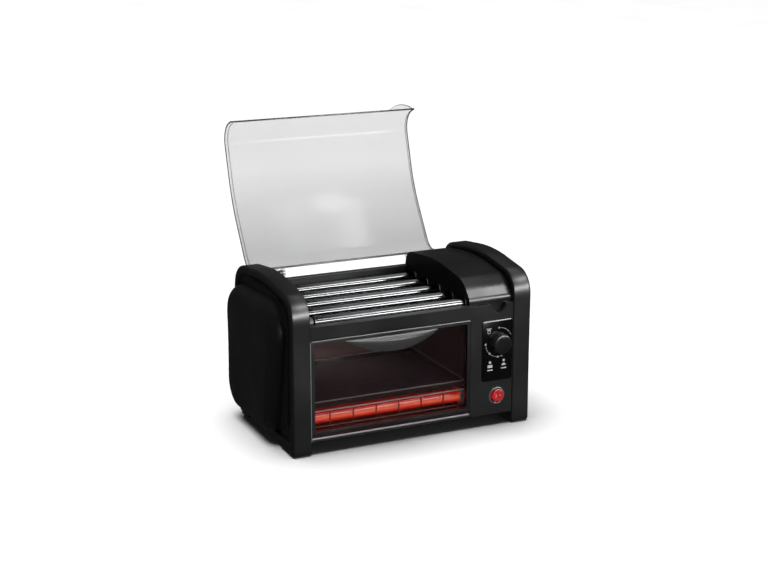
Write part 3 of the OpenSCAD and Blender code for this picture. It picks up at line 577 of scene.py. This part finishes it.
def end_cap(name, side):
    """One end cap: rim band with rounded edges, a groove and a domed side panel."""
    angles = cap_angles()
    with_feet = [cast(rounded(cap_outline(True)), CAP_MID, a) for a in angles]
    no_feet = [cast(rounded(cap_outline(False)), CAP_MID, a) for a in angles]
    panel = [cast(rounded(side_outline(), 20), CAP_MID, a) for a in angles]

    def ring(outline, d, x):
        pts = []
        for p in outline:
            to = CAP_MID - p
            pts.append((side * x, *(p + to / np.linalg.norm(to) * d)))
        return pts

    loops = [ring(no_feet, 14 * MM, CAP_IN + 2.4 * MM), ring(no_feet, 14 * MM, CAP_IN)]
    loops += [ring(with_feet, d * MM, CAP_IN + x * MM) for d, x in ((1.2, 0), (0.4, 0.3), (0, 1.2))]
    fillet = 4.5 * MM
    loops.append(ring(with_feet, 0, RIM_X - fillet * 1.4))
    for i in range(9):
        a = math.pi / 2 * i / 8
        loops.append(ring(with_feet, fillet * (1 - math.cos(a)), RIM_X - fillet * (1 - math.sin(a))))
    inner_edge = rounded(shrunk(cap_outline(False), 9 * MM))
    rim_in = [cast(inner_edge, CAP_MID, a) for a in angles]
    loops.append(ring(rim_in, 0, RIM_X - 0.4 * MM))
    loops.append(ring(rim_in, 1.5 * MM, RIM_X - 1.6 * MM))
    groove = RIM_X - 4.5 * MM
    # The groove's floor keeps clear of the side panel where the two outlines come close
    clear = 2 * MM
    floor_in = [p + (CAP_MID - p) / np.linalg.norm(CAP_MID - p) * 3 * MM for p in rim_in]
    between = [p if np.linalg.norm(p - CAP_MID) > np.linalg.norm(q - CAP_MID) + clear else
               CAP_MID + (q - CAP_MID) * (1 + clear / np.linalg.norm(q - CAP_MID))
               for p, q in zip(floor_in, panel)]
    loops.append(ring(between, 0, groove))
    dome_h = BULGE - 1.2 * MM + (RIM_X - groove)
    dome_r = 17 * MM
    for i in range(13):
        a = math.pi / 2 * i / 12
        loops.append(ring(panel, dome_r * (1 - math.cos(a)), groove + dome_h * math.sin(a)))
    for share in (0.3, 0.55, 0.8, 0.97):
        crown = dome_h + 1.2 * MM * (1 - (1 - share) ** 2)
        pts = []
        for p in panel:
            to = CAP_MID - p
            q = p + to / np.linalg.norm(to) * dome_r
            pts.append((side * (groove + crown), *(q + (CAP_MID - q) * share)))
        loops.append(pts)
    obj = loft(name, loops, first="open", last="cap")
    return place(obj, "housing", BLACK, [name.replace("_shell", "")])


for side, name in ((-1, "left_cap_shell"), (1, "right_cap_shell")):
    end_cap(name, side)


# ---------------------------------------------------------------- clear lid

BODY_H = 219 * MM
RAIL_TOP = 170 * MM
LID_T = 2.5 * MM
LID_HALF = (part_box("lid")[1].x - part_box("lid")[0].x) / 2
LID_OPEN = math.radians(114.5)
LID_REAR = yf(212)
HINGE = np.array([yf(218.1), 184.5 * MM])
LID_PATH = [
    (yf(1.4), RAIL_TOP + 1.5 * MM, 0),
    (yf(1.4), BODY_H - 13 * MM, 30 * MM),
    (yf(104.5), BODY_H + 1.5 * MM, 240 * MM),
    (LID_REAR, BODY_H - 15 * MM, 27 * MM),
    (LID_REAR, 181 * MM, 0),
]


def beside(corners, d):
    """Open corners moved to the right of their way by d."""
    flat = [np.array(c[:2], float) for c in corners]
    out = []
    for i, c in enumerate(corners):
        b = flat[i]
        a = b * 2 - flat[1] if i == 0 else flat[i - 1]
        e = b * 2 - flat[i - 1] if i == len(flat) - 1 else flat[i + 1]
        m, n = unit(b - a), unit(e - b)
        m, n = np.array([m[1], -m[0]]), np.array([n[1], -n[0]])
        out.append((*(b + (m + n) * d / (1 + m @ n)), max(0.0002, c[2] - d) if c[2] else 0))
    return out


def opened(p):
    """A (y, z) point of the closed lid, where it is with the lid open."""
    return HINGE + turned(np.array(p) - HINGE, -LID_OPEN)


def make_lid():
    """Clear lid at rest, which is open: its sheet, end rims, hinge cheeks and thumb tab."""
    outer = [opened(p) for p in open_path(LID_PATH, 20)]
    inner = [opened(p) for p in open_path(beside(LID_PATH, LID_T), 20)]
    round_r = 0.8 * MM
    skin = outer + inner[::-1]
    centre_in = [p * 0.5 + q * 0.5 for p, q in zip(skin, inner + outer[::-1])]
    shell = []
    for x, share in ((-LID_HALF, 0.45), (-LID_HALF + round_r, 0.0), (0, 0.0),
                     (LID_HALF - round_r, 0.0), (LID_HALF, 0.45)):
        shell.append([(x, *(p * (1 - share) + c * share)) for p, c in zip(skin, centre_in)])
    sheet = loft("lid_sheet", shell)
    sheet.data.materials.clear()
    sheet.data.materials.append(LID_CLEAR)
    sheet.data.materials.append(LID_EDGE)
    free = opened((LID_PATH[0][0] + LID_T / 2, LID_PATH[0][1]))
    rear = opened((LID_REAR - LID_T / 2, LID_PATH[-1][1]))
    for f in sheet.data.polygons:
        c = f.center
        at_end = abs(c.x) > LID_HALF - 1.5 * round_r
        at_free = (Vector((c.y, c.z)) - Vector(free)).length < 3.0 * MM
        at_rear = (Vector((c.y, c.z)) - Vector(rear)).length < 1.6 * MM
        f.material_index = 1 if at_end or at_free or at_rear else 0
    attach(sheet, "lid")
    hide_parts("lid")

    pieces = []
    # Inner rims along the two ends of the lid
    rim_h, rim_t = 1.6 * MM, 1.2 * MM
    low = [opened(p) for p in open_path(beside(LID_PATH, LID_T - 0.05 * MM), 20)]
    high = [opened(p) for p in open_path(beside(LID_PATH, LID_T + rim_h), 20)]
    for side in (-1, 1):
        x0, x1 = side * (LID_HALF - 3.5 * MM), side * (LID_HALF - 3.5 * MM - rim_t)
        profile = low + high[::-1]
        pieces.append(loft("rim", [[(x, *p) for p in profile] for x in (x0, x1)]))
    # Cheeks that hold the hinge pins
    ear_gap, cheek_w, ear_r = 2.8 * MM, 3 * MM, 4.5 * MM
    for x in (-HINGE_X, HINGE_X):
        for side in (-1, 1):
            x0 = x + side * ear_gap
            arc = [HINGE + ear_r * np.array([math.cos(a), math.sin(a)])
                   for a in np.linspace(-math.pi * 0.5, math.pi * 0.5, 16)]
            root_y = LID_REAR - 1.2 * MM
            root = [(root_y, HINGE[1] + 9 * MM), (root_y, HINGE[1] - 1.5 * MM)]
            flat = [opened(p) for p in arc + root]
            x1 = x0 + side * cheek_w
            pieces.append(loft("cheek", [[(xx, *p) for p in flat] for xx in (x0, x1)]))
    trim = join("lid_trim", pieces)
    place(trim, "lid", LID_RIM)

    # Thumb tab: a half disc with a thickened rim
    tab_x, half, out, t = SCOOP_X - 2 * MM, 19 * MM, 8 * MM, 2.5 * MM
    r = (half * half + out * out) / (2 * out)
    a = math.asin(half / r)
    edge = [(tab_x + r * math.sin(q), LID_PATH[0][0] + 1 * MM + r * math.cos(a) - r * math.cos(q))
            for q in np.linspace(-a, a, 40)]
    mid = np.array([tab_x, LID_PATH[0][0] + 0.5 * MM])
    loops = []
    z0 = RAIL_TOP + 1.5 * MM
    for z, inset in ((z0, 0.5), (z0 + 0.4 * MM, 0), (z0 + t - 0.4 * MM, 0), (z0 + t, 0.5)):
        ring = []
        for p in edge:
            q = np.array(p)
            to = mid - q
            if np.linalg.norm(to) > 1e-6:
                q = q + (to / np.linalg.norm(to)) * inset * MM
            yz = opened((q[1], z))
            ring.append((q[0], *yz))
        loops.append(ring)
    tab = loft("lid_thumb_tab", loops)
    tab.data.materials.append(LID_CLEAR)
    tab.data.materials.append(LID_EDGE)
    rim_area = 3e-6
    for f in tab.data.polygons:
        f.material_index = 1 if f.area < rim_area else 0
    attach(tab, "lid")


# ---------------------------------------------------------------- control panel

LABEL_LO, LABEL_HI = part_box("dial_label")
KNOB_LO, KNOB_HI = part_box("timer_knob")
KNOB_X = (KNOB_LO.x + KNOB_HI.x) / 2
KNOB_Z = (KNOB_LO.z + KNOB_HI.z) / 2
BEZEL_LO, BEZEL_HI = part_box("switch_bezel")
SWITCH_X = (BEZEL_LO.x + BEZEL_HI.x) / 2
SWITCH_Z = (BEZEL_LO.z + BEZEL_HI.z) / 2
PRINT_T = 0.12 * MM


def flat_print(name, outline, y, depth=PRINT_T):
    """A printed mark that stands a hair proud of a face that looks along -Y."""
    return prism_y(name, [(p[0], p[1]) for p in outline], y - depth, y + 0.02 * MM)


def dot(x, z, r, y, steps=20):
    return flat_print("dot", [(x + r * math.cos(a), z + r * math.sin(a)) for a in ring_of(steps)], y)


def arc_mark(x, z, r, w, a0, a1, y, steps=24):
    """Printed arc of radius r and line width w, between two angles in degrees."""
    angles = [math.radians(a0 + (a1 - a0) * i / steps) for i in range(steps + 1)]
    outer = [(x + (r + w / 2) * math.cos(a), z + (r + w / 2) * math.sin(a)) for a in angles]
    inner = [(x + (r - w / 2) * math.cos(a), z + (r - w / 2) * math.sin(a)) for a in angles]
    return flat_print("arc", outer + inner[::-1], y)


def mark(x, z, w, h, y, r=0.3):
    """Printed bar, with its corners rounded by r millimetres."""
    c = [(x - w / 2, z - h / 2, r * MM), (x + w / 2, z - h / 2, r * MM),
         (x + w / 2, z + h / 2, r * MM), (x - w / 2, z + h / 2, r * MM)]
    return flat_print("bar", rounded(c, 4), y)


def make_print():
    """The dial's scale and three plain pictograms."""
    y = LABEL_LO.y
    x, z, r = KNOB_X, KNOB_Z, 19.9 * MM
    marks = [arc_mark(x, z, r, 0.4 * MM, 24, 84, y), arc_mark(x, z, r, 0.4 * MM, 190, 284, y)]
    scale_dots = ((90, 1.25), (62, 0.85), (46, 0.85), (30, 0.7),
                  (183, 1.35), (226, 1.3), (266, 1.35), (284, 0.8))
    for a, size in scale_dots:
        q = math.radians(a)
        marks.append(dot(x + r * math.cos(q), z + r * math.sin(q), size * MM, y))
    # Three small pictograms: a roller with food over it, a bun and a tray
    ix, iz = x - 15.1 * MM, z + 16.7 * MM
    marks += [arc_mark(ix, iz - 1.2 * MM, 2.2 * MM, 0.8 * MM, 0, 180, y),
              arc_mark(ix, iz - 1.2 * MM, 2.2 * MM, 0.8 * MM, 180, 360, y),
              mark(ix, iz + 3.2 * MM, 7.4 * MM, 1.1 * MM, y),
              mark(ix, iz + 1.5 * MM, 5.2 * MM, 0.9 * MM, y)]
    ix, iz = x - 12.8 * MM, z - 32.2 * MM
    marks += [dot(ix, iz + 5.4 * MM, 1.9 * MM, y), mark(ix, iz, 7.4 * MM, 4.0 * MM, y, 0.8),
              mark(ix, iz - 5.4 * MM, 8.0 * MM, 1.5 * MM, y)]
    ix, iz = x + 7.9 * MM, z - 31.0 * MM
    marks += [dot(ix, iz + 5.0 * MM, 1.8 * MM, y),
              arc_mark(ix, iz - 1.8 * MM, 1.6 * MM, 3.0 * MM, 0, 180, y),
              mark(ix, iz - 5.6 * MM, 8.0 * MM, 1.5 * MM, y)]
    place(join("label_print", marks), "housing", PRINT)


def make_label():
    """Glossy plate behind the timer knob."""
    r = 4 * MM
    c = [(LABEL_LO.x, LABEL_LO.z, r), (LABEL_HI.x, LABEL_LO.z, r),
         (LABEL_HI.x, LABEL_HI.z, r), (LABEL_LO.x, LABEL_HI.z, r)]
    loops = []
    for y, inset in ((LABEL_HI.y, 0), (LABEL_LO.y + 0.2 * MM, 0), (LABEL_LO.y, 0.2 * MM)):
        loops.append([(p[0], y, p[1]) for p in rounded(shrunk(c, inset) if inset else c, 10)])
    place(loft("dial_plate", loops), "housing", LABEL, ["dial_label"])


def make_knob():
    """Timer knob: fluted skirt, rounded shoulder, softly domed front and an index line."""
    r = (KNOB_HI.x - KNOB_LO.x) / 2
    back, front = KNOB_HI.y, KNOB_LO.y
    steps = 144
    flutes, flute_depth = 24, 0.022
    loops = []
    # How fluted it is, where along its axis, and its share of the full radius
    profile = [(0.0, back, 0.90), (0.0, back, 1.0), (0.0, back - 1.2 * MM, 1.0),
               (0.5, back - 2.0 * MM, 0.975), (1.0, back - 3.2 * MM, 0.965),
               (1.0, front + 3.4 * MM, 0.955), (0.5, front + 2.0 * MM, 0.945),
               (0.0, front + 1.1 * MM, 0.915), (0.0, front + 0.55 * MM, 0.86), (0.0, front + 0.2 * MM, 0.76),
               (0.0, front + 0.05 * MM, 0.6), (0.0, front, 0.35), (0.0, front, 0.08)]
    for flute, y, share in profile:
        ring = []
        for a in ring_of(steps):
            q = r * share * (1 - flute_depth * flute * (0.5 + 0.5 * math.cos(flutes * a)) ** 2)
            ring.append((KNOB_X + q * math.cos(a), y, KNOB_Z + q * math.sin(a)))
        loops.append(ring)
    place(loft("timer_grip", loops), "timer", KNOB, ["timer_knob"])
    line = mark(KNOB_X, KNOB_Z + 0.55 * r, 1.1 * MM, 0.42 * r, front + 0.16 * MM, 0.4)
    place(line, "timer", KNOB_LINE)
    line.name = "timer_index"


def make_switch():
    """Round rocker switch: its bezel, its tilted button and the button's two marks."""
    r = (BEZEL_HI.x - BEZEL_LO.x) / 2
    front, back = BEZEL_LO.y, BEZEL_HI.y
    face = FASCIA_Y
    wall_r = r - 2.2 * MM
    profile = [(r - 1 * MM, back), (r - 1 * MM, face), (r, face), (r, face - 0.7 * MM),
               (r - 0.35 * MM, face - 1.3 * MM), (r - 1.0 * MM, front + 0.15 * MM),
               (r - 1.5 * MM, front), (r - 2.0 * MM, front + 0.2 * MM),
               (wall_r, front + 0.8 * MM), (wall_r, back)]
    loops = []
    for q, y in profile:
        loops.append([(SWITCH_X + q * math.cos(a), y, SWITCH_Z + q * math.sin(a)) for a in ring_of(72)])
    bezel = loft("switch_ring", loops, first="open", last="open")
    place(bezel, "housing", BEZEL, ["switch_bezel"])
    # Rocker: a round button with a hollow front, tilted with its right side in
    lo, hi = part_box("rocker")
    axis_y = yf(7.5)
    rr, tilt = 8.4 * MM, math.radians(7)
    dish_r, out, inner = 22 * MM, 9.5 * MM, 2 * MM
    n = 64

    def tilted(x, y, z):
        return (SWITCH_X + x * math.cos(tilt) - y * math.sin(tilt),
                axis_y + x * math.sin(tilt) + y * math.cos(tilt), SWITCH_Z + z)

    loops = [[tilted(rr * s * math.cos(a), inner, rr * s * math.sin(a))
              for a in ring_of(n)] for s in (0.9, 1.0)]
    edge_drops = ((1.0, 0.9), (0.985, 0.35), (0.95, 0.08), (0.9, 0), (0.7, 0), (0.45, 0), (0.2, 0), (0.04, 0))
    for share, drop in edge_drops:
        ring = []
        for a in ring_of(n):
            x, z = rr * share * math.cos(a), rr * share * math.sin(a)
            y = -out + 0.8 * MM - (dish_r - math.sqrt(dish_r ** 2 - x * x)) + drop * MM
            ring.append(tilted(x, max(y, -out), z))
        loops.append(ring)
    pin_r, reach = 1.3 * MM, 10.5 * MM
    shaft = tube("pin", [(SWITCH_X, axis_y, SWITCH_Z + dz) for dz in (-reach, 0, reach)], pin_r)
    place(join("rocker_button", [loft("button", loops), shaft]), "rocker", RED, ["rocker"])
    marks = []
    for x, kind in ((-4.1 * MM, "ring"), (4.1 * MM, "bar")):
        y = -out + 0.8 * MM - (dish_r - math.sqrt(dish_r ** 2 - x * x)) - 0.02 * MM
        if kind == "ring":
            m = arc_mark(x, 0, 1.5 * MM, 0.7 * MM, 0, 359.9, y, 32)
        else:
            m = mark(x, 0, 3.2 * MM, 0.9 * MM, y)
        for v in m.data.vertices:
            v.co = tilted(*v.co)
        marks.append(m)
    place(join("rocker_marks", marks), "rocker", ROCKER_MARK)


make_lid()
make_label()
make_print()
make_knob()
make_switch()

# ---------------------------------------------------------------- door handle

HANDLE_LO, HANDLE_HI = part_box("door_handle")


def make_handle():
    """A cup pull that is open at its top: back plate, floor and a thick rolled lip."""
    half = (HANDLE_HI.x - HANDLE_LO.x) / 2
    mid = (HANDLE_HI.x + HANDLE_LO.x) / 2
    top = HANDLE_HI.z
    drop = top - HANDLE_LO.z
    back = HANDLE_HI.y
    front = FASCIA_Y
    out = front - HANDLE_LO.y
    n = 60
    loops = []
    for i in range(n + 1):
        u = -1 + 2 * i / n
        u = math.sin(u * math.pi / 2)
        x = mid + half * u * 0.999
        s = max(0.02, 1 - u * u)
        d = drop * (0.06 + 0.94 * s)
        o = out * (0.10 + 0.90 * s)
        lip = top - 1.6 * MM * s - 0.3 * MM
        t = min(2.4 * MM, 0.45 * o)
        low = top - d
        # From the back plate's top, down inside, over the lip, and under to the back
        section = [(back, top), (front - 0.6 * MM * s, top), (front - 1.2 * MM * s, top - 0.5 * MM)]
        floor_in = low + min(2.6 * MM, 0.35 * d)
        section += [(front - 1.6 * MM * s, lip), (front - 0.18 * o, floor_in + 0.25 * (lip - floor_in)),
                    (front - 0.35 * o, floor_in), (front - 0.6 * o, floor_in + 0.05 * d),
                    (front - o + t, floor_in + 0.45 * (lip - floor_in)), (front - o + t, lip - 0.6 * MM * s),
                    (front - o + 0.8 * t, lip), (front - o + 0.35 * t, lip), (front - o, lip - 1.0 * MM * s),
                    (front - o, lip - 0.42 * (lip - low)), (front - 0.93 * o, low + 0.3 * (lip - low)),
                    (front - 0.75 * o, low + 0.08 * (lip - low)), (front - 0.5 * o, low),
                    (front, low), (back, low)]
        loops.append([(x, p[0], p[1]) for p in section])
    obj = loft("door_pull", loops)
    m = obj.modifiers.new("bevel", "BEVEL")
    m.width, m.segments, m.limit_method, m.angle_limit = 0.3 * MM, 2, "ANGLE", math.radians(40)
    place(obj, "door", HANDLE, ["door_handle"])


make_handle()

# ---------------------------------------------------------------- CAD nodes that stay

LOOKS = {
    "foot_pads": (RUBBER, 0.8), "base_plate": (SHEET, 0.2), "back_panel": (DARK_SHEET, 0.3),
    "left_side_plate": (SHEET, 0.2), "bulkhead": (SHEET, 0.2), "oven_back": (OVEN_SHEET, 0.2),
    "oven_ceiling": (OVEN_SHEET, 0.2), "fascia": (FASCIA, 0.6), "control_housing": (HOUSING, 0.9),
    "switch_body": (SWITCH_BLACK, 0.3), "timer_body": (TIMER, 0.5), "timer_bell": (BELL, 0),
    "timer_shaft": (PIN, 0.2), "motor": (MOTOR, 0.6), "motor_bracket": (SHEET, 0.2),
    "motor_pinion": (NYLON, 0.12), "idler_posts": (PIN, 0.2), "left_bushes": (GREY_BUSH, 0.4),
    "right_bushes": (WHITE_BUSH, 0.3), "lower_heaters": (GLOW, 0), "upper_heaters": (QUARTZ, 0),
    "heater_holders": (CERAMIC, 0.6), "heater_guard": (WIRE, 0), "bun_tray": (TRAY_DARK, 0.3),
    "crumb_tray": (TRAY_BRIGHT, 0.3), "door_frame": (DOOR_BLACK, 0.5), "door_glass": (DOOR_GLASS, 0),
    "door_pins": (PIN, 0.2), "handle_screws": (SCREW, 0.4), "lid_pins": (PIN, 0.3),
    "hinge_brackets": (DARK_SHEET, 0.4), "bracket_screws": (SCREW, 0.6), "panel_screws": (SCREW, 0.6),
    "cord_gland": (GLAND, 0.6), "thermostat": (BELL, 0.4), "terminal_block": (TERMINAL, 0.5),
}
for i in range(1, 6):
    LOOKS[f"roller_{i}"] = (ROLLER, 0.9)
    LOOKS[f"roller_gear_{i}"] = (NYLON, 0.12)
for i in range(1, 5):
    LOOKS[f"idler_gear_{i}"] = (NYLON, 0.12)

for name, (look, edge) in LOOKS.items():
    node = bpy.data.objects[name]
    node.data.materials.clear()
    node.data.materials.append(look)
    if edge:
        soften(node, edge * MM)

# ---------------------------------------------------------------- camera, light and floor

CAM_AZ = math.radians(-24.89)
CAM_EL = math.radians(15.335)
CAM_DIST = 2.059
LENS = 72.33
TARGET = Vector((-0.0014, yf(92.4), 0.1832))


def make_camera():
    """Camera that sees the grill as photographed, from its front left and slightly above."""
    back = Vector((math.sin(CAM_AZ) * math.cos(CAM_EL), -math.cos(CAM_AZ) * math.cos(CAM_EL),
                   math.sin(CAM_EL)))
    data = bpy.data.cameras.new("camera")
    data.lens = LENS
    data.sensor_width = 36
    cam = bpy.data.objects.new("camera", data)
    bpy.context.scene.collection.objects.link(cam)
    cam.location = TARGET + back * CAM_DIST
    cam.rotation_mode = "QUATERNION"
    cam.rotation_quaternion = (-back).to_track_quat("-Z", "Y")
    bpy.context.scene.camera = cam


def make_world():
    """White to the camera, and a dim grey room to everything else."""
    world = bpy.data.worlds.new("studio")
    bpy.context.scene.world = world
    world.use_nodes = True
    tree = world.node_tree
    back = tree.nodes["Background"]
    back.inputs["Color"].default_value = (1, 1, 1, 1)
    seen = tree.nodes.new("ShaderNodeLightPath")
    level = tree.nodes.new("ShaderNodeMapRange")
    level.inputs["To Min"].default_value = 0.035
    level.inputs["To Max"].default_value = 1.05
    tree.links.new(seen.outputs["Is Camera Ray"], level.inputs["Value"])
    tree.links.new(level.outputs["Result"], back.inputs["Strength"])


def area_light(name, at, to, size, watts, color=(1, 1, 1)):
    """Rectangular light at a place, turned towards another."""
    data = bpy.data.lights.new(name, "AREA")
    data.shape = "RECTANGLE"
    data.size, data.size_y = size
    data.energy = watts
    data.color = color
    lamp = bpy.data.objects.new(name, data)
    bpy.context.scene.collection.objects.link(lamp)
    lamp.location = Vector(at)
    lamp.rotation_mode = "QUATERNION"
    lamp.rotation_quaternion = (Vector(to) - Vector(at)).to_track_quat("-Z", "Y")
    return lamp


FLOOR_HALF = 16


def make_floor():
    floor = block("floor", (-FLOOR_HALF, -FLOOR_HALF, -0.02), (FLOOR_HALF, FLOOR_HALF, 0))
    look = Look("floor", (0.78, 0.78, 0.78), 0.6, specular=0.2)
    look.roughness(look.noise(3, 2.0), 0.55, 0.65)
    floor.data.materials.append(look.mat)
    floor.visible_glossy = False


make_camera()
make_world()
make_floor()
sun = bpy.data.lights.new("overhead", "SUN")
sun.energy = 4.7
sun.angle = math.radians(48)
overhead = bpy.data.objects.new("overhead", sun)
bpy.context.scene.collection.objects.link(overhead)
overhead.rotation_euler = (math.radians(-5), math.radians(-3), 0)
overhead.visible_glossy = False
# Long box overhead that draws the bright line on each roller and the sheen on the curved fronts
top_box = area_light("top_box", (0.55, -0.02, 1.35), (0.0, 0.0, 0.17), (1.7, 0.3), 3)
# Box high in front on the right that lights the front bands of the two end caps
front_box = area_light("front_box", (0.62, -1.25, 0.55), (0.0, -0.12, 0.17), (1.7, 0.18), 44)
# Box between the two that draws the broad sheen on the housing's curved front
sheen_box = area_light("sheen_box", (0.66, -0.76, 1.2), (0.12, -0.1, 0.2), (0.6, 0.25), 11.5)
# Low light inside the oven, red as the heaters are
oven_box = area_light("oven_box", (-0.03, yf(52), 0.052), (-0.03, yf(80), 0.13), (0.18, 0.03), 0.30,
                      (1.0, 0.20, 0.07))
for lamp in (top_box, front_box, sheen_box, oven_box):
    lamp.visible_camera = False
for lamp in (top_box, front_box, sheen_box):
    lamp.visible_diffuse = False
oven_box.visible_glossy = False
bpy.context.scene.view_settings.view_transform = "Standard"
